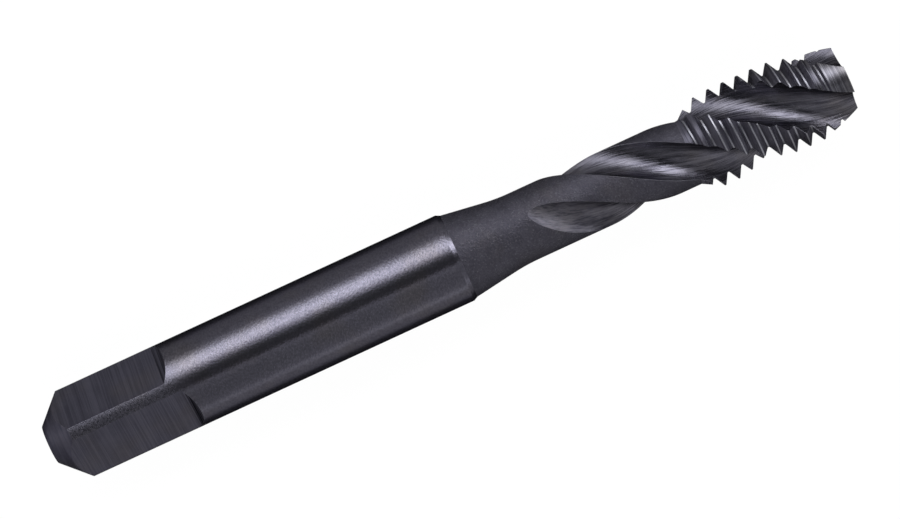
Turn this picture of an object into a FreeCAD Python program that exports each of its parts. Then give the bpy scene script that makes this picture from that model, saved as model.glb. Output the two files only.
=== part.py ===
import FreeCAD, Part
import os
from math import acos, ceil, cos, floor, pi, radians, sin, sqrt, tan

from FreeCAD import Vector

# A spiral flute machine tap, ground from one bar. All sizes are in millimetres and degrees.
# The tool is first made upright, with its square end at height 0 and its cutting end at the top.
# At the end it is laid down along +X, as it lies on a bench, with its lowest point at height 0.

# Whole tool
overall_length = 56.0
shank_diameter = 6.0

# Square drive end
end_face_diameter = 2.6
end_cone_angle = 45.0
square_across_flats = 4.78
square_short_length = 8.42
square_long_length = 9.19
square_shoulder_radius = 0.64
square_turn = 43.9

# Shank end, taper and neck
shank_end = 28.5
shank_chamfer_depth = 0.14
shank_chamfer_length = 0.28
taper_angle = 8.3
taper_blend_radius = 12.0
neck_diameter = 4.64

# Thread
thread_diameter = 6.08
thread_pitch = 1.0
thread_angle = 60.0
thread_crest_flat = 0.09
thread_root_flat = 0.11
thread_start = 44.85
thread_back_angle = 29.0
thread_lead_angle = 18.6
front_face_diameter = 4.25
thread_phase = 0.21

# Flutes
flute_count = 3
flute_helix_angle = 37.5
flute_width_angle = 70.9
flute_rake_angle = 10.0
flute_core_diameter = 2.5
flute_tip = 33.87
flute_runout_radius = 14.5
flute_runout_lean = 9.0
flute_turn = 66.6

# How far the cutting shapes reach past the metal that they remove
cutter_overrun = 1.2

# What is left on the thread's blank, and how finely helices and flutes are laid out
grinding_allowance = 0.05
strips_per_turn = 3
helix_steps = 6
flute_section_step = 15.0

shank_radius = shank_diameter / 2
neck_radius = neck_diameter / 2
thread_radius = thread_diameter / 2
core_radius = flute_core_diameter / 2
thread_slope = tan(radians(thread_angle / 2))
thread_depth = (thread_pitch - thread_crest_flat - thread_root_flat) / 2 / thread_slope
root_radius = thread_radius - thread_depth
flute_lead = pi * thread_diameter / tan(radians(flute_helix_angle))
flute_half_width = flute_width_angle / 2


def polar(radius, angle, height=0.0):
    """A point at an angle in degrees around the tool's axis."""
    return Vector(radius * cos(radians(angle)), radius * sin(radians(angle)), height)


def straight_spline(start, end):
    """A straight edge held as a spline, so that what cuts the surface made from it leaves splines too."""
    curve = Part.BSplineCurve()
    curve.buildFromPolesMultsKnots([start, end], [2, 2], [0, 1], False, 1)
    return curve.toShape()


def blank():
    """The turned blank: end cone, shank, taper, neck and the plain body of the thread."""
    face_radius = end_face_diameter / 2
    body_radius = thread_radius + grinding_allowance
    cone_length = (shank_radius - face_radius) / tan(radians(end_cone_angle))
    taper_slope = tan(radians(taper_angle))
    taper_top = shank_radius - shank_chamfer_depth
    taper_start = shank_end + shank_chamfer_length
    taper_meets_neck = taper_start + (taper_top - neck_radius) / taper_slope
    blend_reach = taper_blend_radius * tan(radians(taper_angle / 2))
    blend_start = taper_meets_neck - blend_reach * cos(radians(taper_angle))
    blend_top = neck_radius + blend_reach * sin(radians(taper_angle))
    blend_end = taper_meets_neck + blend_reach
    half_turn = radians(taper_angle / 2)
    blend_middle = Vector(
        neck_radius + taper_blend_radius * (1 - cos(half_turn)), 0, blend_end - taper_blend_radius * sin(half_turn)
    )
    back_length = (body_radius - neck_radius) / tan(radians(thread_back_angle))
    lead_length = (body_radius - front_face_diameter / 2) / tan(radians(thread_lead_angle))
    first = [
        Vector(0, 0, 0),
        Vector(face_radius, 0, 0),
        Vector(shank_radius, 0, cone_length),
        Vector(shank_radius, 0, shank_end),
        Vector(taper_top, 0, taper_start),
        Vector(blend_top, 0, blend_start),
    ]
    second = [
        Vector(neck_radius, 0, blend_end),
        Vector(neck_radius, 0, thread_start),
        Vector(body_radius, 0, thread_start + back_length),
        Vector(body_radius, 0, overall_length - lead_length),
        Vector(front_face_diameter / 2, 0, overall_length),
        Vector(0, 0, overall_length),
        Vector(0, 0, 0),
    ]
    edges = [Part.makeLine(a, b) for a, b in zip(first, first[1:])]
    edges[1] = straight_spline(first[1], first[2])
    edges.append(Part.Arc(first[-1], blend_middle, second[0]).toShape())
    edges += [Part.makeLine(a, b) for a, b in zip(second, second[1:])]
    return Part.Face(Part.Wire(edges)).revolve(Vector(0, 0, 0), Vector(0, 0, 1), 360)


def flat_cutter(length, turn):
    """The metal milled off one side of the square, with the cutter's round corner at the shoulder."""
    flat = square_across_flats / 2
    outside = shank_radius + cutter_overrun
    corner = square_shoulder_radius
    below = -cutter_overrun
    bend = Vector(flat + corner * (1 - sin(radians(45))), 0, length + corner * cos(radians(45)))
    edges = [
        Part.makeLine(Vector(flat, 0, below), Vector(flat, 0, length)),
        Part.Arc(Vector(flat, 0, length), bend, Vector(flat + corner, 0, length + corner)).toShape(),
        Part.makeLine(Vector(flat + corner, 0, length + corner), Vector(outside, 0, length + corner)),
        Part.makeLine(Vector(outside, 0, length + corner), Vector(outside, 0, below)),
        Part.makeLine(Vector(outside, 0, below), Vector(flat, 0, below)),
    ]
    face = Part.Face(Part.Wire(edges))
    face.translate(Vector(0, -outside, 0))
    cutter = face.extrude(Vector(0, 2 * outside, 0))
    cutter.rotate(Vector(0, 0, 0), Vector(0, 0, 1), turn)
    return cutter


def square_cutters():
    """Four flats: one opposite pair is a little shorter than the other."""
    lengths = [square_short_length, square_long_length] * 2
    return [flat_cutter(length, square_turn + 90 * side) for side, length in enumerate(lengths)]


def thread_outline():
    """One pitch of the thread as radius and height, from the middle of one root to the next."""
    crest_half = thread_crest_flat / 2
    root_half = thread_root_flat / 2
    return [
        (root_radius, -root_half),
        (root_radius, root_half),
        (thread_radius, thread_pitch / 2 - crest_half),
        (thread_radius, thread_pitch / 2 + crest_half),
        (root_radius, thread_pitch - root_half),
    ]


def helix_curve(radius, height, first_angle, sweep):
    """Part of a helix of the thread's pitch, as a smooth curve. Height is where it passes angle 0."""
    shares = [step / helix_steps for step in range(helix_steps + 1)]
    angles = [first_angle + sweep * share for share in shares]
    points = [polar(radius, angle, height + thread_pitch * angle / 360) for angle in angles]
    rise = Vector(0, 0, thread_pitch * sweep / 360)
    start, end = [polar(radius * radians(sweep), angle + 90) + rise for angle in (angles[0], angles[-1])]
    curve = Part.BSplineCurve()
    curve.interpolate(Points=points, Parameters=shares, InitialTangent=start, FinalTangent=end, Scale=False)
    return curve


def helical_strip(lower, upper, base, first_angle, sweep):
    """The straight-sided strip between two helices, each given as radius and height."""
    low, high = [helix_curve(r, base + height, first_angle, sweep) for r, height in (lower, upper)]
    strip = Part.BSplineSurface()
    poles = [low.getPoles(), high.getPoles()]
    counts = low.getMultiplicities()
    strip.buildFromPolesMultsKnots(poles, [2, 2], counts, [0, 1], low.getKnots(), False, False, 1, low.Degree)
    return strip.toShape()


def bar_end(base, outline):
    """One end of the threaded bar: a spiral floor of one turn and the step where it meets itself."""
    sweep = 360 / strips_per_turn
    foot = outline[0]
    faces = [helical_strip((0, foot[1]), foot, base, sweep * k, sweep) for k in range(strips_per_turn)]
    axis = [
        Vector(0, 0, base + foot[1] + thread_pitch * k / strips_per_turn) for k in range(strips_per_turn, -1, -1)
    ]
    corners = [polar(r, 0, base + height) for r, height in outline] + axis
    faces.append(Part.Face(Part.makePolygon(corners + corners[:1])))
    return faces


def threaded_bar(bottom, top):
    """A right-hand threaded bar that reaches past both heights."""
    outline = thread_outline()
    base = thread_phase + thread_pitch * (floor((bottom - thread_phase) / thread_pitch) - 2)
    turns = ceil((top - base) / thread_pitch) + 1
    sweep = 360 / strips_per_turn
    faces = bar_end(base, outline) + bar_end(base + turns * thread_pitch, outline)
    for k in range(turns * strips_per_turn):
        faces += [helical_strip(a, b, base, sweep * k, sweep) for a, b in zip(outline, outline[1:])]
    shell = Part.makeShell(faces)
    shell.sewShape()
    return outward(Part.makeSolid(shell))


def thread_cutter():
    """A ring with the thread inside it: everything outside the crests, flanks and roots."""
    bottom = thread_start - thread_pitch
    top = overall_length + cutter_overrun
    ring = Part.makeCylinder(thread_radius + cutter_overrun, top - bottom, Vector(0, 0, bottom))
    return ring.cut(threaded_bar(bottom, top))


def outward(solid):
    """The solid with its faces pointing out."""
    if solid.Volume < 0:
        solid.reverse()
    return solid


def flute_outline():
    """The flute's section at full depth: cutting wall, round floor and heel wall, open to the outside."""
    cut_edge = polar(thread_radius, -flute_half_width)
    heel_edge = polar(thread_radius, flute_half_width)
    cut_way = polar(1, flute_rake_angle - flute_half_width)
    heel_way = polar(1, flute_half_width)
    across = cut_way.x * heel_way.y - cut_way.y * heel_way.x
    gap = heel_edge - cut_edge
    along = (gap.x * heel_way.y - gap.y * heel_way.x) / across
    apex = cut_edge + cut_way * along
    middle = (cut_way + heel_way).normalize()
    half_opening = acos(cut_way.dot(heel_way)) / 2
    reach = 1 / sin(half_opening)
    square = reach**2 - 1
    linear = reach * apex.dot(middle) - core_radius
    constant = apex.dot(apex) - core_radius**2
    floor_radius = (-linear + sqrt(linear**2 - square * constant)) / square
    centre = apex + middle * (floor_radius * reach)
    touch = floor_radius / tan(half_opening)
    length = thread_radius + apex.Length + cutter_overrun
    return {
        "cut_outer": apex + cut_way * length,
        "cut_touch": apex + cut_way * touch,
        "floor": centre - middle * floor_radius,
        "heel_touch": apex + heel_way * touch,
        "heel_outer": apex + heel_way * length,
    }


def flute_section(height, outline):
    """The flute's section at one height: lifted out where the grinding wheel leaves the metal, and turned."""
    runout_length = sqrt(2 * flute_runout_radius * (neck_radius - core_radius))
    missing = max(flute_tip + runout_length - height, 0.0)
    lift = polar(missing**2 / (2 * flute_runout_radius), flute_runout_lean, height)
    p = {name: point + lift for name, point in outline.items()}
    wire = Part.Wire(
        [
            Part.makeLine(p["cut_outer"], p["cut_touch"]),
            Part.Arc(p["cut_touch"], p["floor"], p["heel_touch"]).toShape(),
            Part.makeLine(p["heel_touch"], p["heel_outer"]),
            Part.makeLine(p["heel_outer"], p["cut_outer"]),
        ]
    )
    wire.rotate(Vector(0, 0, 0), Vector(0, 0, 1), flute_turn + 360 * height / flute_lead)
    return wire


def flute_cutters():
    """The right-hand spiral flutes, each lofted through sections along the tool."""
    outline = flute_outline()
    bottom = flute_tip - cutter_overrun
    top = overall_length + cutter_overrun
    count = ceil((top - bottom) / flute_lead * 360 / flute_section_step)
    heights = [bottom + (top - bottom) * step / count for step in range(count + 1)]
    first = Part.makeLoft([flute_section(height, outline) for height in heights], True, False)
    cutters = []
    for flute in range(flute_count):
        cutter = first.copy()
        cutter.rotate(Vector(0, 0, 0), Vector(0, 0, 1), 360 * flute / flute_count)
        cutters.append(cutter)
    return cutters


def tap():
    """The finished tool, upright."""
    body = blank().cut(square_cutters())
    body = body.cut(flute_cutters())
    body = body.cut(thread_cutter())
    return max(body.Solids, key=lambda solid: solid.Volume)


def lay_down(shape):
    """The tool laid along +X with its middle over the origin, resting on the crests of its thread."""
    shape.rotate(Vector(0, 0, 0), Vector(1, 1, 1), 120)
    shape.translate(Vector(-overall_length / 2, 0, thread_radius))
    return shape


os.makedirs("parts", exist_ok=True)
lay_down(tap()).exportStep("parts/spiral_flute_tap.step")
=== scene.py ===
"""A spiral flute machine tap, lying on a pale table and seen from straight above."""

import logging
import math
from dataclasses import dataclass
from enum import Enum
from typing import Callable, Iterable

import bpy
from mathutils import Matrix, Vector

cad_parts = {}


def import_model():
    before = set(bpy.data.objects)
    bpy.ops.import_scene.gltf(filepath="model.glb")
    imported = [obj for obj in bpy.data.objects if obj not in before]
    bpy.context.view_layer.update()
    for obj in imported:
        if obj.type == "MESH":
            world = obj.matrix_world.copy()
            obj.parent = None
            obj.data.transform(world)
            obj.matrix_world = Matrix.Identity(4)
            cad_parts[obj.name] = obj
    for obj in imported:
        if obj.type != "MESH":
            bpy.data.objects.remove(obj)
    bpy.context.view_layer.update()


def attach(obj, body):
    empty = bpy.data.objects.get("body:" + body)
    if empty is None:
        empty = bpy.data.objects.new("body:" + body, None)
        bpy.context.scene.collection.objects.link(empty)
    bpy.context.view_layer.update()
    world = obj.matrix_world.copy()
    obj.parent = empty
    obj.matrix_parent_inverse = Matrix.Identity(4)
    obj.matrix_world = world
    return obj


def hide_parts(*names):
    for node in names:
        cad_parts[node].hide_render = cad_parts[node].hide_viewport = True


LOG = logging.getLogger("tap")
MM = 0.001
SQUARE_ON = 0.99
"""A face turned squarely to an axis has at least this much of its normal along it."""
VALUE = "NodeSocketFloat"
VECTOR = "NodeSocketVector"

Colour = tuple[float, float, float]
Span = tuple[float, float]
Socket = tuple[str, str, object]
"""Name, type and default value of a node group's input or output."""


class Zone(Enum):
    """The parts of the tool's surface, each with a finish of its own."""

    END_CONE = 0
    SHANK = 1
    FLAT = 2
    SHOULDER = 3
    NECK = 4
    CREST = 5
    LEAD_LAND = 6
    FLANK = 7
    ROOT = 8
    FLUTE = 9
    FRONT_FACE = 10


class Lay(Enum):
    """The way that the marks of machining run."""

    AROUND = 0
    ALONG_FLUTE = 1


def mark_zones(obj: bpy.types.Object, choose: Callable[[bpy.types.MeshPolygon], Zone]) -> None:
    """Give each face of an object the finish of its zone.

    Args:
        obj: the object, with one material slot for each zone.
        choose: says which zone a face belongs to.
    """
    for zone in Zone:
        obj.data.materials.append(bpy.data.materials[zone.name.lower()])
    for face in obj.data.polygons:
        face.material_index = choose(face).value


def deselect_all() -> None:
    """Leave every object unselected."""
    for obj in bpy.context.selected_objects:
        obj.select_set(False)


def make_active(obj: bpy.types.Object) -> None:
    """Select one object alone and make it the active one.

    Args:
        obj: the object to work on.
    """
    deselect_all()
    obj.select_set(True)
    bpy.context.view_layer.objects.active = obj


def apply_modifiers(obj: bpy.types.Object) -> None:
    """Apply all of an object's modifiers, in order.

    Args:
        obj: the object whose modifiers are applied.
    """
    make_active(obj)
    for modifier in list(obj.modifiers):
        bpy.ops.object.modifier_apply(modifier=modifier.name)


def cut_away(body: bpy.types.Object, cutter: bpy.types.Object) -> None:
    """Cut one closed shape out of another and remove the cutter.

    Args:
        body: the shape that is cut.
        cutter: the shape that is taken away.
    """
    modifier = body.modifiers.new("cut", "BOOLEAN")
    modifier.operation = "DIFFERENCE"
    modifier.solver = "EXACT"
    modifier.material_mode = "INDEX"
    modifier.object = cutter
    apply_modifiers(body)
    bpy.data.objects.remove(cutter, do_unlink=True)


def weld_points(body: bpy.types.Object, distance: float) -> None:
    """Join points that the cuts left on top of one another and drop what is then loose.

    Args:
        body: the piece.
        distance: points nearer than this become one.
    """
    make_active(body)
    bpy.ops.object.mode_set(mode="EDIT")
    bpy.ops.mesh.select_all(action="SELECT")
    bpy.ops.mesh.remove_doubles(threshold=distance)
    bpy.ops.mesh.select_all(action="SELECT")
    bpy.ops.mesh.delete_loose(use_verts=True, use_edges=True, use_faces=False)
    bpy.ops.object.mode_set(mode="OBJECT")


def polar(radius: float, angle: float) -> Vector:
    """The point across the tool at a radius and an angle in degrees, from +Y towards +Z."""
    turn = math.radians(angle)
    return Vector((0, radius * math.cos(turn), radius * math.sin(turn)))


@dataclass(frozen=True)
class Sizes:
    """The tool's sizes in millimetres and degrees, measured from its square end.

    The flats lie flat_distance from the axis, and the first of them faces square_turn from +Y towards +Z. The
    shank's chamfer is its length and its depth. thread_phase places the thread's grooves along the tool, and
    flute_turn places the first flute around it. A flute is flute_width degrees wide, ends at flute_tip, and
    is led out of the neck along runout_radius, leaning to the side by runout_lean.
    """

    length: float = 56.0
    shank_radius: float = 3.0
    end_face_radius: float = 1.3
    end_cone_length: float = 1.7
    flat_distance: float = 2.39
    short_flat: float = 8.42
    long_flat: float = 9.19
    shoulder_radius: float = 0.64
    square_turn: float = 43.9
    shank_end: float = 28.5
    shank_chamfer: Span = (0.28, 0.14)
    taper_angle: float = 8.3
    taper_blend: float = 12.0
    neck_radius: float = 2.32
    thread_radius: float = 3.04
    pitch: float = 1.0
    thread_angle: float = 60.0
    crest_flat: float = 0.09
    root_flat: float = 0.11
    thread_start: float = 44.85
    back_angle: float = 29.0
    lead_angle: float = 18.6
    front_radius: float = 2.125
    thread_phase: float = 0.21
    flutes: int = 3
    helix_angle: float = 37.5
    flute_width: float = 70.9
    rake: float = 10.0
    core_radius: float = 1.25
    flute_tip: float = 33.87
    runout_radius: float = 14.5
    runout_lean: float = 9.0
    flute_turn: float = 66.6

    @property
    def lead(self) -> float:
        """The length in which a flute turns once around the tool."""
        return 2 * math.pi * self.thread_radius / math.tan(math.radians(self.helix_angle))

    @property
    def root_radius(self) -> float:
        """The radius of the thread's root."""
        slope = math.tan(math.radians(self.thread_angle / 2))
        return self.thread_radius - (self.pitch - self.crest_flat - self.root_flat) / 2 / slope

    @property
    def axis(self) -> Vector:
        """The middle of the tool's square end, in metres."""
        return Vector((-self.length / 2 * MM, 0, self.thread_radius * MM))

    @property
    def lead_start(self) -> float:
        """Where the chamfered lead of the thread starts, from the square end."""
        slope = math.tan(math.radians(self.lead_angle))
        return self.length - (self.thread_radius - self.front_radius) / slope

    def place(self, along: float, radius: float, angle: float) -> Vector:
        """The point in metres at a distance from the square end, a radius and an angle around the axis."""
        return self.axis + (Vector((along, 0, 0)) + polar(radius, angle)) * MM

    def flute_angle(self, along: float) -> float:
        """The angle in degrees of the first flute's middle at a distance from the square end."""
        return self.flute_turn + 360 * along / self.lead


@dataclass
class Blank:
    """The turned body, drawn out ring by ring from a disc."""

    sizes: Sizes
    around: int = 160
    plain_step: float = 1.0
    fine_step: float = 0.16
    blend_steps: int = 6
    crest_slope: float = 0.1

    def stations(self) -> list[Span]:
        """The turned outline as distance along the tool and radius, with close rings where it is fluted.

        Returns:
            The outline's points from the square end to the front face.
        """
        s = self.sizes
        slope = math.tan(math.radians(s.taper_angle))
        taper_start = s.shank_end + s.shank_chamfer[0]
        taper_top = s.shank_radius - s.shank_chamfer[1]
        meet = taper_start + (taper_top - s.neck_radius) / slope
        reach = s.taper_blend * math.tan(math.radians(s.taper_angle / 2))
        points = [(0.0, s.end_face_radius), (s.end_cone_length, s.shank_radius)]
        points += [(s.shank_end, s.shank_radius), (taper_start, taper_top)]
        for step in range(self.blend_steps + 1):
            turn = math.radians(s.taper_angle * (1 - step / self.blend_steps))
            along = meet + reach - s.taper_blend * math.sin(turn)
            points.append((along, s.neck_radius + s.taper_blend * (1 - math.cos(turn))))
        back = (s.thread_radius - s.neck_radius) / math.tan(math.radians(s.back_angle))
        points += [(s.thread_start, s.neck_radius), (s.thread_start + back, s.thread_radius)]
        points += [(s.lead_start, s.thread_radius), (s.length, s.front_radius)]
        rings = [points[0]]
        for start, end in zip(points, points[1:]):
            step = self.fine_step if end[0] > s.flute_tip - self.plain_step else self.plain_step
            parts = max(1, math.ceil((end[0] - start[0]) / step))
            rings += [
                (start[0] + (end[0] - start[0]) * k / parts, start[1] + (end[1] - start[1]) * k / parts)
                for k in range(1, parts + 1)
            ]
        return rings

    def build(self) -> bpy.types.Object:
        """Draw the blank out from its end face.

        Returns:
            The closed body.
        """
        s = self.sizes
        rings = self.stations()
        deselect_all()
        bpy.ops.mesh.primitive_circle_add(
            vertices=self.around,
            radius=rings[0][1] * MM,
            fill_type="NGON",
            location=s.axis,
            rotation=(0, math.pi / 2, 0),
        )
        body = bpy.context.object
        body.name = "tap_body"
        bpy.ops.object.transform_apply(location=True, rotation=True, scale=True)
        bpy.ops.object.mode_set(mode="EDIT")
        bpy.ops.mesh.select_all(action="SELECT")
        for (x0, r0), (x1, r1) in zip(rings, rings[1:]):
            bpy.ops.mesh.extrude_region_move(TRANSFORM_OT_translate={"value": ((x1 - x0) * MM, 0, 0)})
            if not math.isclose(r0, r1):
                centre = s.place(x1, 0, 0)
                bpy.ops.transform.resize(value=(1, r1 / r0, r1 / r0), center_override=centre)
        bpy.ops.mesh.select_all(action="SELECT")
        bpy.ops.mesh.normals_make_consistent(inside=False)
        bpy.ops.object.mode_set(mode="OBJECT")
        mark_zones(body, self.zone)
        return body

    def zone(self, face: bpy.types.MeshPolygon) -> Zone:
        """The zone of one face of the blank, by its place along the tool.

        Args:
            face: the face.

        Returns:
            Its zone.
        """
        s = self.sizes
        along = (face.center.x - s.axis.x) / MM
        if face.normal.x > SQUARE_ON:
            return Zone.FRONT_FACE
        if along < s.end_cone_length:
            return Zone.END_CONE
        if along < s.shank_end + s.shank_chamfer[0]:
            return Zone.SHANK
        if along < s.thread_start:
            return Zone.NECK
        if along > s.lead_start:
            return Zone.LEAD_LAND
        return Zone.CREST if abs(face.normal.x) < self.crest_slope else Zone.FLANK


@dataclass
class SquareMill:
    """The cutter shape of one flat of the drive square, with its round corner at the shoulder."""

    sizes: Sizes
    overrun: float = 1.2
    corner_steps: int = 6
    corner_profile: float = 0.3
    slack: float = 0.001

    def build(self, length: float, turn: float) -> bpy.types.Object:
        """Make the block that is milled away.

        Args:
            length: where the flat ends, from the square end.
            turn: the direction the flat faces, in degrees.

        Returns:
            The closed cutter.
        """
        s = self.sizes
        corner = s.shoulder_radius
        low = s.flat_distance
        high = s.shank_radius + self.overrun
        back = -self.overrun
        front = length + corner
        deselect_all()
        bpy.ops.mesh.primitive_cube_add(size=1, location=(0, 0, 0))
        block = bpy.context.object
        block.scale = ((front - back) * MM, 2 * high * MM, (high - low) * MM)
        block.location = ((front + back) / 2 * MM, 0, (high + low) / 2 * MM)
        bpy.ops.object.transform_apply(location=True, rotation=True, scale=True)
        bpy.ops.object.mode_set(mode="EDIT")
        bpy.ops.mesh.select_mode(type="EDGE")
        bpy.ops.mesh.select_all(action="DESELECT")
        bpy.ops.object.mode_set(mode="OBJECT")
        mesh = block.data
        in_front, at_foot = (front - self.slack) * MM, (low + self.slack) * MM
        for edge in mesh.edges:
            ends = [mesh.vertices[v].co for v in edge.vertices]
            edge.select = all(e.x > in_front and e.z < at_foot for e in ends)
        bpy.ops.object.mode_set(mode="EDIT")
        bpy.ops.mesh.bevel(offset=corner * MM, segments=self.corner_steps, profile=self.corner_profile)
        bpy.ops.object.mode_set(mode="OBJECT")
        mark_zones(block, lambda face: Zone.FLAT if face.normal.z < -SQUARE_ON else Zone.SHOULDER)
        mesh.transform(Matrix.Rotation(math.radians(turn - 90), 4, "X"))
        mesh.transform(Matrix.Translation(s.axis))
        return block


@dataclass
class FluteWheel:
    """The path of the grinding wheel through one flute, drawn out section by section."""

    sizes: Sizes
    overrun: float = 1.2
    step: float = 0.16
    floor_steps: int = 26

    def section(self) -> list[Vector]:
        """The flute across the tool: a cutting wall, a round floor that touches the core, and a heel wall.

        Returns:
            Points in the plane across the tool, in millimetres, from beyond the heel to beyond the edge.
        """
        s = self.sizes
        half = s.flute_width / 2
        cut_edge, heel_edge = polar(s.thread_radius, -half), polar(s.thread_radius, half)
        cut_way, heel_way = polar(1, s.rake - half), polar(1, half)
        gap = heel_edge - cut_edge
        across = cut_way.y * heel_way.z - cut_way.z * heel_way.y
        apex = cut_edge + cut_way * ((gap.y * heel_way.z - gap.z * heel_way.y) / across)
        middle = (cut_way + heel_way).normalized()
        opening = math.acos(cut_way.dot(heel_way)) / 2
        reach = 1 / math.sin(opening)
        square = reach**2 - 1
        linear = reach * apex.dot(middle) - s.core_radius
        constant = apex.dot(apex) - s.core_radius**2
        radius = (-linear + math.sqrt(linear**2 - square * constant)) / square
        centre = apex + middle * reach * radius
        far = s.thread_radius + apex.length + self.overrun
        span = math.pi / 2 - opening
        away = math.atan2(-middle.z, -middle.y)
        floor = [
            centre + polar(radius, math.degrees(away - span + 2 * span * k / self.floor_steps))
            for k in range(self.floor_steps + 1)
        ]
        return [apex + heel_way * far, *floor, apex + cut_way * far]

    def lift(self, along: float) -> float:
        """How far the wheel is out of full depth.

        Args:
            along: distance from the square end in millimetres.

        Returns:
            The lift in millimetres.
        """
        s = self.sizes
        runout = math.sqrt(2 * s.runout_radius * (s.neck_radius - s.core_radius))
        return max(s.flute_tip + runout - along, 0.0) ** 2 / (2 * s.runout_radius)

    def build(self, flute: int) -> bpy.types.Object:
        """Draw the wheel's path for one flute.

        Args:
            flute: which flute, from 0.

        Returns:
            The closed cutter.
        """
        s = self.sizes
        start = s.flute_tip - self.overrun
        turn = s.flute_angle(start) + 360 * flute / s.flutes
        offset = polar(self.lift(start), s.runout_lean)
        outline = self.section()
        deselect_all()
        bpy.ops.mesh.primitive_circle_add(
            vertices=len(outline), radius=MM, fill_type="NGON", location=(0, 0, 0)
        )
        wheel = bpy.context.object
        spin = Matrix.Rotation(math.radians(turn), 3, "X")
        for vertex, point in zip(wheel.data.vertices, outline):
            vertex.co = spin @ ((point + offset) * MM) + s.place(start, 0, 0)
        bpy.ops.object.mode_set(mode="EDIT")
        bpy.ops.mesh.select_all(action="SELECT")
        end = s.length + self.overrun
        count = math.ceil((end - start) / self.step)
        for k in range(1, count + 1):
            before = start + (end - start) * (k - 1) / count
            now = start + (end - start) * k / count
            angle = 360 * (now - before) / s.lead
            bpy.ops.mesh.extrude_region_move(TRANSFORM_OT_translate={"value": ((now - before) * MM, 0, 0)})
            bpy.ops.transform.rotate(
                value=-math.radians(angle),
                orient_axis="X",
                orient_type="GLOBAL",
                center_override=s.place(now, 0, 0),
            )
            change = self.lift(now) - self.lift(before)
            if change:
                way = turn + 360 * (now - start) / s.lead + s.runout_lean
                bpy.ops.transform.translate(value=polar(change * MM, way))
        bpy.ops.mesh.select_all(action="SELECT")
        bpy.ops.mesh.normals_make_consistent(inside=False)
        bpy.ops.object.mode_set(mode="OBJECT")
        mark_zones(wheel, lambda face: Zone.FLUTE)
        return wheel


@dataclass
class ThreadGrinder:
    """The V groove of the thread, screwed around the tool from behind the back chamfer to past the front."""

    sizes: Sizes
    overrun: float = 0.05
    steps: int = 120
    flank_slope: float = 0.5

    def build(self) -> bpy.types.Object:
        """Screw the groove's outline around the axis and close its ends.

        Returns:
            The closed cutter.
        """
        s = self.sizes
        slope = math.tan(math.radians(s.thread_angle / 2))
        outer = s.thread_radius + self.overrun
        narrow = s.root_flat / 2
        wide = narrow + (outer - s.root_radius) * slope
        skipped = math.ceil((s.thread_start - s.pitch / 2 - s.thread_phase) / s.pitch)
        first = skipped * s.pitch + s.thread_phase
        turns = math.ceil((s.length + s.pitch - first) / s.pitch)
        outline = [(-narrow, s.root_radius), (-wide, outer), (wide, outer), (narrow, s.root_radius)]
        deselect_all()
        bpy.ops.mesh.primitive_plane_add(size=MM, location=(0, 0, 0))
        groove = bpy.context.object
        order = groove.data.polygons[0].vertices
        for index, (across, radius) in zip(order, outline):
            groove.data.vertices[index].co = Vector((first + across, radius, 0)) * MM
        bpy.ops.object.mode_set(mode="EDIT")
        bpy.ops.mesh.select_all(action="SELECT")
        bpy.ops.mesh.delete(type="ONLY_FACE")
        bpy.ops.object.mode_set(mode="OBJECT")
        screw = groove.modifiers.new("turns", "SCREW")
        screw.axis = "X"
        screw.angle = 2 * math.pi
        screw.screw_offset = s.pitch * MM
        screw.iterations = turns
        screw.steps = self.steps
        screw.render_steps = self.steps
        screw.use_merge_vertices = False
        apply_modifiers(groove)
        bpy.ops.object.mode_set(mode="EDIT")
        bpy.ops.mesh.select_mode(type="EDGE")
        bpy.ops.mesh.select_all(action="DESELECT")
        bpy.ops.mesh.select_non_manifold(
            extend=False, use_wire=False, use_boundary=True, use_multi_face=False
        )
        bpy.ops.mesh.edge_face_add()
        bpy.ops.mesh.select_all(action="SELECT")
        bpy.ops.mesh.normals_make_consistent(inside=False)
        bpy.ops.object.mode_set(mode="OBJECT")
        mark_zones(groove, lambda face: Zone.FLANK if abs(face.normal.x) > self.flank_slope else Zone.ROOT)
        groove.data.transform(Matrix.Translation(s.axis))
        return groove


@dataclass
class Tap:
    """The whole tool, cut from its blank in the order in which it is machined."""

    sizes: Sizes
    sharp_angle: float = 18.0
    weld: float = 0.001 * MM

    def build(self) -> bpy.types.Object:
        """Turn, mill and grind the tool.

        Returns:
            The finished piece.
        """
        s = self.sizes
        body = Blank(s).build()
        LOG.info("blank: %d faces", len(body.data.polygons))
        for side in range(4):
            flat = s.long_flat if side % 2 else s.short_flat
            cut_away(body, SquareMill(s).build(flat, s.square_turn + 90 * side))
        LOG.info("drive square: %d faces", len(body.data.polygons))
        cut_away(body, ThreadGrinder(s).build())
        LOG.info("thread: %d faces", len(body.data.polygons))
        for flute in range(s.flutes):
            cut_away(body, FluteWheel(s).build(flute))
        LOG.info("flutes: %d faces", len(body.data.polygons))
        weld_points(body, self.weld)
        bpy.ops.object.shade_smooth_by_angle(angle=math.radians(self.sharp_angle))
        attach(body, "root")
        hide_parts("spiral_flute_tap")
        return body


def add_sockets(group: bpy.types.NodeTree, side: str, sockets: Iterable[Socket]) -> None:
    """Give a node group its inputs or outputs.

    Args:
        group: the node group.
        side: INPUT or OUTPUT.
        sockets: name, socket type and default value of each.
    """
    for name, kind, value in sockets:
        socket = group.interface.new_socket(name=name, in_out=side, socket_type=kind)
        if value is not None:
            socket.default_value = value


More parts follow.
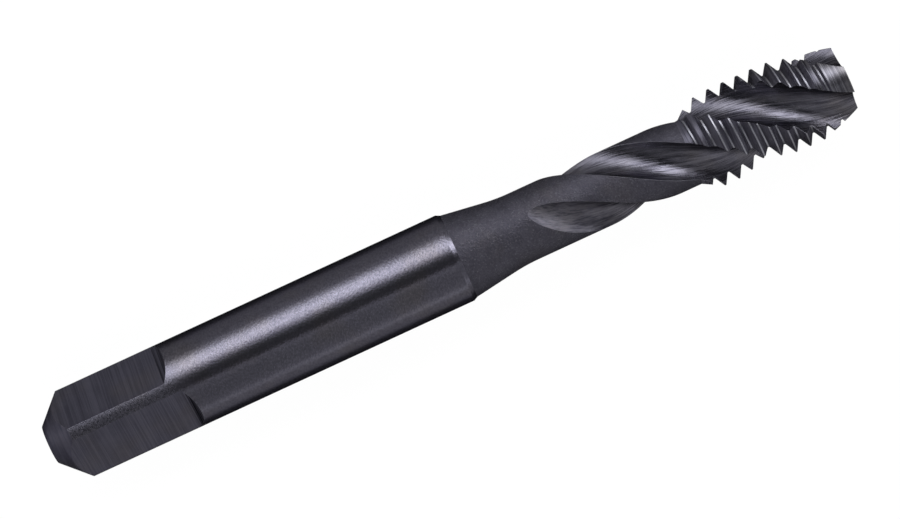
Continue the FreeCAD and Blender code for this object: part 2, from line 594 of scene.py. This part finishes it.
@dataclass
class Graph:
    """A node tree and short ways to add to it."""

    tree: bpy.types.NodeTree

    def add(
        self, kind: str, inputs: dict[str | int, object] | None = None, **settings: object
    ) -> bpy.types.Node:
        """Add a node, set its settings, and set or link its inputs.

        Args:
            kind: the node's type.
            inputs: a value or another node's output for each input, by name or number.
            settings: the node's own properties.

        Returns:
            The new node.
        """
        node = self.tree.nodes.new(kind)
        for name, value in settings.items():
            setattr(node, name, value)
        for name, value in (inputs or {}).items():
            if isinstance(value, bpy.types.NodeSocket):
                self.tree.links.new(value, node.inputs[name])
            else:
                node.inputs[name].default_value = value
        return node

    def math(
        self, operation: str, a: object, b: object = 0.0, c: object = 0.0, clamp: bool = False
    ) -> bpy.types.NodeSocket:
        """Add a Math node of up to three values or sockets, with its result clamped if asked."""
        inputs = {0: a, 1: b, 2: c}
        return self.add("ShaderNodeMath", inputs, operation=operation, use_clamp=clamp).outputs[0]

    def ramp(
        self, value: object, low: float, high: float, to_low: float = 0.0, to_high: float = 1.0
    ) -> bpy.types.NodeSocket:
        """Map a value smoothly from the range low, high to the range to_low, to_high, held at its ends."""
        inputs = {"Value": value, "From Min": low, "From Max": high, "To Min": to_low, "To Max": to_high}
        return self.add("ShaderNodeMapRange", inputs, interpolation_type="SMOOTHSTEP").outputs["Result"]

    def blend(self, factor: object, a: object, b: object) -> bpy.types.NodeSocket:
        """Mix two numbers or sockets, where the factor is the share of the second."""
        return self.add("ShaderNodeMix", {0: factor, 2: a, 3: b}, data_type="FLOAT").outputs[0]

    def mix(self, factor: object, a: object, b: object, way: str = "MIX") -> bpy.types.NodeSocket:
        """Mix two colours or sockets in one of the node's ways, where the factor is the share of the second."""
        inputs = {0: factor, 6: a, 7: b}
        return self.add("ShaderNodeMix", inputs, data_type="RGBA", blend_type=way).outputs[2]

    def vector(self, operation: str, a: object, b: object) -> bpy.types.NodeSocket:
        """Add a Vector Math node of two vectors or sockets, of which a dot product gives a number."""
        result = "Value" if operation == "DOT_PRODUCT" else "Vector"
        return self.add("ShaderNodeVectorMath", {0: a, 1: b}, operation=operation).outputs[result]

    def noise(
        self, point: object, scale: object, detail: float, roughness: float = 0.5
    ) -> bpy.types.NodeSocket:
        """Add a noise at a point, with detail as its finer layers and roughness as their strength."""
        inputs = {"Vector": point, "Scale": scale, "Detail": detail, "Roughness": roughness}
        return self.add("ShaderNodeTexNoise", inputs).outputs[0]

    def link(self, node: bpy.types.Node, **sockets: bpy.types.NodeSocket) -> None:
        """Link sockets to a node's inputs of the same names."""
        for name, socket in sockets.items():
            self.tree.links.new(socket, node.inputs[name])

    def group(self, name: str, inputs: dict[str | int, object]) -> bpy.types.Node:
        """Place a shared effect by its name, with its inputs."""
        return self.add("ShaderNodeGroup", inputs, node_tree=bpy.data.node_groups[name])


def start_group(
    name: str, inputs: list[Socket], outputs: list[Socket]
) -> tuple[Graph, bpy.types.Node, bpy.types.Node]:
    """Start a node group for a shared effect.

    Args:
        name: the group's name.
        inputs: name, type and default value of each input.
        outputs: name, type and default value of each output.

    Returns:
        The graph, its input node and its output node.
    """
    tree = bpy.data.node_groups.new(name, "ShaderNodeTree")
    add_sockets(tree, "INPUT", inputs)
    add_sockets(tree, "OUTPUT", outputs)
    graph = Graph(tree)
    return graph, graph.add("NodeGroupInput"), graph.add("NodeGroupOutput")


@dataclass
class SharedEffects:
    """The effects that the finishes have in common, each a node group."""

    sizes: Sizes

    def build(self) -> None:
        """Make the groups."""
        self.tool_place()
        self.grain()
        self.mottle()
        self.edge_wear_and_glint()

    def tool_place(self) -> None:
        """Places on the tool in millimetres from its square end, as they are and with the flutes unwound."""
        graph, _, out = start_group(
            "tool_place", [], [("Straight", VECTOR, None), ("Unwound", VECTOR, None), ("Along", VALUE, None)]
        )
        point = graph.add("ShaderNodeTexCoord").outputs["Object"]
        middle = graph.vector("SUBTRACT", point, self.sizes.axis)
        straight = graph.vector("MULTIPLY", middle, (1 / MM, 1 / MM, 1 / MM))
        along = graph.add("ShaderNodeSeparateXYZ", {0: straight}).outputs["X"]
        turn = graph.math("MULTIPLY", along, -2 * math.pi / self.sizes.lead)
        inputs = {"Vector": straight, "Angle": turn}
        unwound = graph.add("ShaderNodeVectorRotate", inputs, rotation_type="X_AXIS").outputs[0]
        graph.link(out, Straight=straight, Unwound=unwound, Along=along)

    def grain(self) -> None:
        """Marks of a tool or wheel: fine and coarse lines, closer together one way than the other."""
        graph, given, out = start_group(
            "machining_grain",
            [("Vector", VECTOR, None), ("Lines", VECTOR, (1.0, 1.0, 1.0)), ("Coarse", VALUE, 0.5)],
            [("Value", VALUE, None)],
        )
        stretched = graph.vector("MULTIPLY", given.outputs["Vector"], given.outputs["Lines"])
        fine = graph.noise(stretched, 1.0, 3.0, 0.6)
        wide = graph.noise(stretched, 0.22, 2.0)
        graph.link(out, Value=graph.blend(given.outputs["Coarse"], fine, wide))

    def mottle(self) -> None:
        """Differences in the oxide's tone: soft clouds, fine speckle and a straw tint."""
        graph, given, out = start_group(
            "oxide_mottle",
            [("Vector", VECTOR, None), ("Scale", VALUE, 1.0)],
            [("Value", VALUE, None), ("Speckle", VALUE, None), ("Straw", VALUE, None)],
        )
        point = given.outputs["Vector"]
        cloud = graph.noise(point, given.outputs["Scale"], 4.0, 0.6)
        speckle = graph.noise(point, 9.0, 2.0, 0.6)
        tint = graph.noise(point, 0.33, 3.0)
        graph.link(
            out, Value=graph.ramp(cloud, 0.3, 0.7), Speckle=speckle, Straw=graph.ramp(tint, 0.45, 0.75)
        )

    def edge_wear_and_glint(self) -> None:
        """Rounded edges, and a light mask along them that is partly oxide worn off and partly a painted highlight.
        """
        graph, given, out = start_group(
            "edge_wear_and_glint",
            [("Radius", VALUE, 0.05 * MM), ("Break", VALUE, 0.5)],
            [("Mask", VALUE, None), ("Normal", VECTOR, None)],
        )
        rounded = graph.add("ShaderNodeBevel", {"Radius": given.outputs["Radius"]}, samples=6).outputs[0]
        normal = graph.add("ShaderNodeNewGeometry").outputs["Normal"]
        edge = graph.ramp(graph.vector("DOT_PRODUCT", rounded, normal), 0.995, 0.9)
        chips = graph.noise(graph.add("ShaderNodeTexCoord").outputs["Object"], 2500.0, 2.0)
        broken = graph.blend(given.outputs["Break"], 1.0, graph.ramp(chips, 0.35, 0.65))
        graph.link(out, Mask=graph.math("MULTIPLY", edge, broken, clamp=True), Normal=rounded)


@dataclass(frozen=True)
class SteelFinish:
    """Oxide-blackened tool steel, with the marks of how one zone of it was machined.

    Its colour goes from dark to light along the machining lines and, by the share cloud, with the soft clouds.
    lines says how close the marks are along each axis and coarse what share of them is wide. wear_and_glint and
    edge give the strength and width in millimetres of the light edges, which are partly worn oxide and partly a
    painted highlight. dull is added to the roughness before dull_span, a stretch along the tool in millimetres in
    which it fades out.
    """

    zone: Zone
    dark: Colour
    light: Colour
    roughness: float
    rough_spread: float = 0.06
    metallic: float = 0.85
    lay: Lay = Lay.AROUND
    lines: tuple[float, float, float] = (9.0, 0.5, 0.5)
    coarse: float = 0.35
    depth: float = 0.15
    speckle: float = 0.0
    cloud: float = 0.35
    cloud_scale: float = 0.5
    wear_and_glint: float = 0.5
    worn_and_glint: Colour = (0.30, 0.30, 0.33)
    edge: float = 0.05
    straw: tuple[float, float, float, float] = (1.03, 1.0, 0.92, 1.0)
    flecks: float = 0.0
    dull: float = 0.0
    dull_span: Span = (7.5, 11.0)
    relief: float = 0.05
    grazing: tuple[float, float, float, float] = (0.2, 0.2, 0.24, 1.0)

    def build(self) -> bpy.types.Material:
        """Make the material.

        Returns:
            The material, named after its zone.
        """
        material = bpy.data.materials.new(self.zone.name.lower())
        material.use_nodes = True
        graph = Graph(material.node_tree)
        shader = material.node_tree.nodes["Principled BSDF"]
        place = graph.group("tool_place", {})
        vector = place.outputs["Unwound" if self.lay is Lay.ALONG_FLUTE else "Straight"]
        marks = {"Vector": vector, "Lines": self.lines, "Coarse": self.coarse}
        grain = graph.group("machining_grain", marks).outputs["Value"]
        mottle = graph.group(
            "oxide_mottle", {"Vector": place.outputs["Straight"], "Scale": self.cloud_scale}
        ).outputs
        edge = graph.group("edge_wear_and_glint", {"Radius": self.edge * MM, "Break": 0.5}).outputs
        streak = graph.ramp(grain, 0.36, 0.64)
        tone = graph.blend(self.cloud, streak, mottle["Value"])
        blue = graph.mix(tone, (*self.dark, 1.0), (*self.light, 1.0))
        oxide = graph.mix(mottle["Straw"], blue, self.straw, "MULTIPLY")
        # light edges: partly worn oxide, partly a painted highlight along every edge
        worn_and_glint = graph.math("MULTIPLY", edge["Mask"], self.wear_and_glint, clamp=True)
        # painted glints: fine specks lightened towards the worn_and_glint colour, evenly over the surface
        flecks = graph.math("MULTIPLY", graph.ramp(mottle["Speckle"], 0.55, 0.72), self.flecks)
        colour = graph.mix(graph.math("MAXIMUM", worn_and_glint, flecks), oxide, (*self.worn_and_glint, 1.0))
        rough = graph.math("MULTIPLY_ADD", streak, self.rough_spread, self.roughness - self.rough_spread / 2)
        if self.dull:
            duller = graph.ramp(place.outputs["Along"], *self.dull_span, self.dull, 0.0)
            rough = graph.math("ADD", rough, duller)
        fine = graph.math("MULTIPLY", mottle["Speckle"], self.speckle)
        height = graph.math("MULTIPLY_ADD", grain, self.depth, fine)
        bump = graph.add(
            "ShaderNodeBump",
            {"Height": height, "Strength": 1.0, "Distance": self.relief * MM, "Normal": edge["Normal"]},
        ).outputs[0]
        graph.link(shader, Roughness=rough, Normal=bump)
        graph.tree.links.new(colour, shader.inputs["Base Color"])
        shader.inputs["Metallic"].default_value = self.metallic
        shader.inputs["Specular Tint"].default_value = self.grazing
        return material


FINISHES = (
    SteelFinish(Zone.END_CONE, (0.066, 0.063, 0.09), (0.13, 0.125, 0.165), 0.42, lines=(6.0, 0.4, 0.4)),
    SteelFinish(
        Zone.SHANK, (0.095, 0.092, 0.117), (0.142, 0.137, 0.168), 0.14, metallic=0.93, lines=(12.0, 6.0, 6.0),
        coarse=0.0, depth=0.24, rough_spread=0.08, cloud=0.15, dull=0.16, wear_and_glint=0.3, edge=0.025,
    ),
    SteelFinish(
        Zone.FLAT, (0.063, 0.061, 0.081), (0.105, 0.101, 0.13), 0.36, metallic=0.9, lines=(10.0, 0.16, 0.16),
        depth=0.3, cloud=0.3, wear_and_glint=0.2, edge=0.025,
    ),
    # The shoulder's strong dark and light lines are partly tool marks and partly painted reflections of its round
    # corner.
    SteelFinish(
        Zone.SHOULDER, (0.01, 0.01, 0.016), (0.16, 0.155, 0.2), 0.34, lines=(14.0, 0.1, 0.1), depth=0.5,
        cloud=0.05,
    ),
    SteelFinish(
        Zone.NECK, (0.039, 0.0373, 0.048), (0.061, 0.0583, 0.073), 0.44, metallic=0.62, lines=(8.0, 6.0, 6.0),
        depth=0.4, speckle=1.0, cloud=0.3, flecks=0.15,
    ),
    # The crest flats are coloured far lighter than the flanks: partly worn oxide, partly a painted highlight line.
    SteelFinish(Zone.CREST, (0.2, 0.2, 0.23), (0.34, 0.34, 0.38), 0.3, wear_and_glint=0.2),
    SteelFinish(
        Zone.LEAD_LAND, (0.03, 0.029, 0.038), (0.17, 0.167, 0.19), 0.26, lines=(7.0, 0.2, 0.2), depth=0.4,
        cloud=0.1, wear_and_glint=0.25,
    ),
    SteelFinish(Zone.FLANK, (0.046, 0.044, 0.061), (0.14, 0.136, 0.166), 0.3, metallic=0.6, wear_and_glint=0.15),
    # The root flats are coloured far lighter than the flanks as a painted highlight line along the thread.
    SteelFinish(Zone.ROOT, (0.2, 0.2, 0.23), (0.34, 0.34, 0.38), 0.3, wear_and_glint=0.2),
    SteelFinish(
        Zone.FLUTE, (0.053, 0.051, 0.068), (0.194, 0.188, 0.222), 0.27, metallic=0.96, lay=Lay.ALONG_FLUTE,
        lines=(0.45, 10.0, 10.0), depth=0.6, rough_spread=0.14, cloud=0.25, cloud_scale=0.8, wear_and_glint=0.3,
        dull=0.3, dull_span=(36.0, 40.0),
    ),
    SteelFinish(Zone.FRONT_FACE, (0.05, 0.048, 0.066), (0.1, 0.096, 0.125), 0.4, lines=(2.0, 2.0, 2.0)),
)


@dataclass
class Studio:
    """The pale table, the soft light around it and the camera above.

    light gives the strength of the light around the tool's axis, at angles in degrees from straight above and
    positive to the front. Towards the ends of the tool it falls to end_light, along square_fade and tip_fade.
    The two lights behind are parted from gap_start to gap_end, and gap_depth is how dark it is there. The
    table looks white, but the tool mirrors it dark: it glows in reflections by table_shine, in front of the
    tool and behind it, and only beyond painted_shadow_span, the distances in metres where this starts and is
    full, so that a painted shadow of the tool lies on the table in its reflections.
    """

    sizes: Sizes
    floor_half: float = 1.5
    picture_turn: float = 24.79
    camera_height: float = 0.2497
    camera_offset: Span = (0.00018, 0.000045)
    half_picture: float = 450 / 3900
    light: tuple[Span, ...] = (
        (-180.0, 0.05),
        (-115.0, 0.25),
        (-88.0, 0.42),
        (-70.0, 0.65),
        (-60.0, 2.1),
        (-50.0, 5.2),
        (-40.0, 6.6),
        (-31.0, 5.6),
        (-22.0, 2.0),
        (-14.0, 0.4),
        (-7.0, 0.09),
        (0.0, 0.05),
        (14.0, 0.05),
        (16.5, 0.8),
        (23.0, 0.5),
        (30.0, 0.42),
        (50.0, 0.39),
        (72.0, 0.5),
        (90.0, 1.05),
        (120.0, 0.45),
        (180.0, 0.05),
    )
    fill_tilt: float = math.radians(50)
    fill_distance: float = 0.4
    fill_size: Span = (0.5, 0.25)
    fill_power: float = 1.7
    gap_depth: float = 0.95
    gap_start: Span = (0.04, 0.11)
    gap_end: Span = (0.2, 0.38)
    gap_top: Span = (0.1, -0.15)
    gap_foot: Span = (-1.5, -1.1)
    square_fade: Span = (-0.14, 0.02)
    tip_fade: Span = (0.7, 1.0)
    end_light: float = 0.5
    table_glow: float = 0.97
    table_shine: Span = (0.4, 0.27)
    # painted shadow of the tool in the table's reflected glow
    painted_shadow_span: Span = (0.0068, 0.012)
    light_scale: float = 7.0

    def floor(self) -> None:
        """Lay the table and paint it, so bright to the camera that no shadow shows on it, with a painted shadow of
        the tool in the glow that the tool mirrors.
        """
        deselect_all()
        bpy.ops.mesh.primitive_grid_add(
            x_subdivisions=4, y_subdivisions=4, size=2 * self.floor_half, location=(0, 0, 0)
        )
        table = bpy.context.object
        table.name = "table"
        material = bpy.data.materials.new("pale_table")
        material.use_nodes = True
        graph = Graph(material.node_tree)
        shader = material.node_tree.nodes["Principled BSDF"]
        point = graph.add("ShaderNodeTexCoord").outputs["Object"]
        cloud = graph.noise(point, 30.0, 3.0)
        colour = graph.mix(cloud, (0.028, 0.028, 0.028, 1.0), (0.032, 0.032, 0.032, 1.0))
        graph.tree.links.new(colour, shader.inputs["Base Color"])
        shader.inputs["Roughness"].default_value = 0.9
        shader.inputs["Specular IOR Level"].default_value = 0.1
        path = graph.add("ShaderNodeLightPath").outputs
        across = graph.add("ShaderNodeSeparateXYZ", {0: point}).outputs["Y"]
        # painted shadow: the table's glow in reflections is dark within painted_shadow_span of the tool's axis
        near = graph.ramp(graph.math("ABSOLUTE", across), *self.painted_shadow_span)
        shown = graph.math("MULTIPLY", near, graph.ramp(across, -0.01, 0.01, *self.table_shine))
        glossy = graph.math("MULTIPLY", path["Is Glossy Ray"], shown)
        glow = graph.math("MULTIPLY_ADD", path["Is Camera Ray"], self.table_glow, glossy)
        graph.tree.links.new(glow, shader.inputs["Emission Strength"])
        shader.inputs["Emission Color"].default_value = (1.0, 1.0, 1.0, 1.0)
        table.data.materials.append(material)

    def surroundings(self) -> None:
        """Light the tool from two soft lights above and behind it, end to end, and a weaker one in front."""
        world = bpy.data.worlds.new("soft_light")
        bpy.context.scene.world = world
        world.use_nodes = True
        tree = world.node_tree
        tree.nodes.clear()
        graph = Graph(tree)
        ray = graph.add("ShaderNodeTexCoord").outputs["Generated"]
        way = graph.add("ShaderNodeSeparateXYZ", {0: ray}).outputs
        angle = graph.math("ARCTAN2", graph.math("MULTIPLY", way["Y"], -1.0), way["Z"])
        share = graph.math("MULTIPLY_ADD", angle, 0.5 / math.pi, 0.5)
        ramp = graph.add("ShaderNodeValToRGB", {0: share})
        ramp.color_ramp.interpolation = "EASE"
        stops = ramp.color_ramp.elements
        for degrees, strength in self.light:
            level = strength / self.light_scale
            spot = stops.new(degrees / 360 + 0.5)
            spot.color = (level, level, level, 1.0)
        stops.remove(stops[-1])
        stops.remove(stops[0])
        near_square = graph.ramp(way["X"], *self.square_fade, self.end_light, 1.0)
        near_tip = graph.ramp(way["X"], *self.tip_fade, 1.0, self.end_light)
        begun = graph.ramp(way["X"], *self.gap_start)
        between = graph.math("SUBTRACT", begun, graph.ramp(way["X"], *self.gap_end))
        behind = graph.math("MULTIPLY", graph.ramp(angle, *self.gap_top), graph.ramp(angle, *self.gap_foot))
        gap = graph.math("MULTIPLY_ADD", graph.math("MULTIPLY", between, behind), -self.gap_depth, 1.0)
        level = graph.math("MULTIPLY", graph.math("MULTIPLY", near_square, near_tip), self.light_scale)
        level = graph.math("MULTIPLY", level, gap)
        lit = graph.math("MULTIPLY", ramp.outputs[0], level)
        path = graph.add("ShaderNodeLightPath").outputs["Is Camera Ray"]
        sky = {"Color": (0.97, 0.98, 1.0, 1.0), "Strength": graph.blend(path, lit, 1.0)}
        background = graph.add("ShaderNodeBackground", sky).outputs[0]
        graph.add("ShaderNodeOutputWorld", {"Surface": background})

    def fill(self) -> None:
        """Hang a weak soft lamp in front, which lifts dull surfaces and isn't mirrored in bright ones."""
        deselect_all()
        aim = Vector((0, math.sin(self.fill_tilt), -math.cos(self.fill_tilt)))
        place = self.sizes.axis + Vector((self.sizes.length / 2 * MM, 0, 0)) - aim * self.fill_distance
        turn = aim.to_track_quat("-Z", "Y").to_euler()
        bpy.ops.object.light_add(type="AREA", location=place, rotation=turn)
        lamp = bpy.context.object
        lamp.name = "front_fill"
        lamp.data.shape = "RECTANGLE"
        lamp.data.size, lamp.data.size_y = self.fill_size
        lamp.data.energy = self.fill_power
        lamp.visible_glossy = False
        lamp.visible_camera = False

    def camera(self) -> None:
        """Hang the camera straight above the tool, turned so that the tool lies across the picture."""
        deselect_all()
        place = (*self.camera_offset, self.sizes.axis.z + self.camera_height)
        bpy.ops.object.camera_add(location=place, rotation=(0, 0, -math.radians(self.picture_turn)))
        camera = bpy.context.object
        camera.data.sensor_fit = "HORIZONTAL"
        camera.data.sensor_width = 36.0
        camera.data.lens = camera.data.sensor_width / 2 / self.half_picture
        bpy.context.scene.camera = camera

    def build(self) -> None:
        """Set the whole studio up."""
        self.floor()
        self.surroundings()
        self.fill()
        self.camera()
        bpy.context.scene.view_settings.view_transform = "Standard"


def main() -> None:
    """Build the tool and the studio, and write how large they are."""
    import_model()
    sizes = Sizes()
    SharedEffects(sizes).build()
    for finish in FINISHES:
        finish.build()
    LOG.info("finishes: %d", len(FINISHES))
    body = Tap(sizes).build()
    LOG.info("tap: %d faces", len(body.data.polygons))
    Studio(sizes).build()
    LOG.info("studio: ready")


if __name__ == "__main__":
    logging.basicConfig(level=logging.INFO, format="%(message)s")
    main()
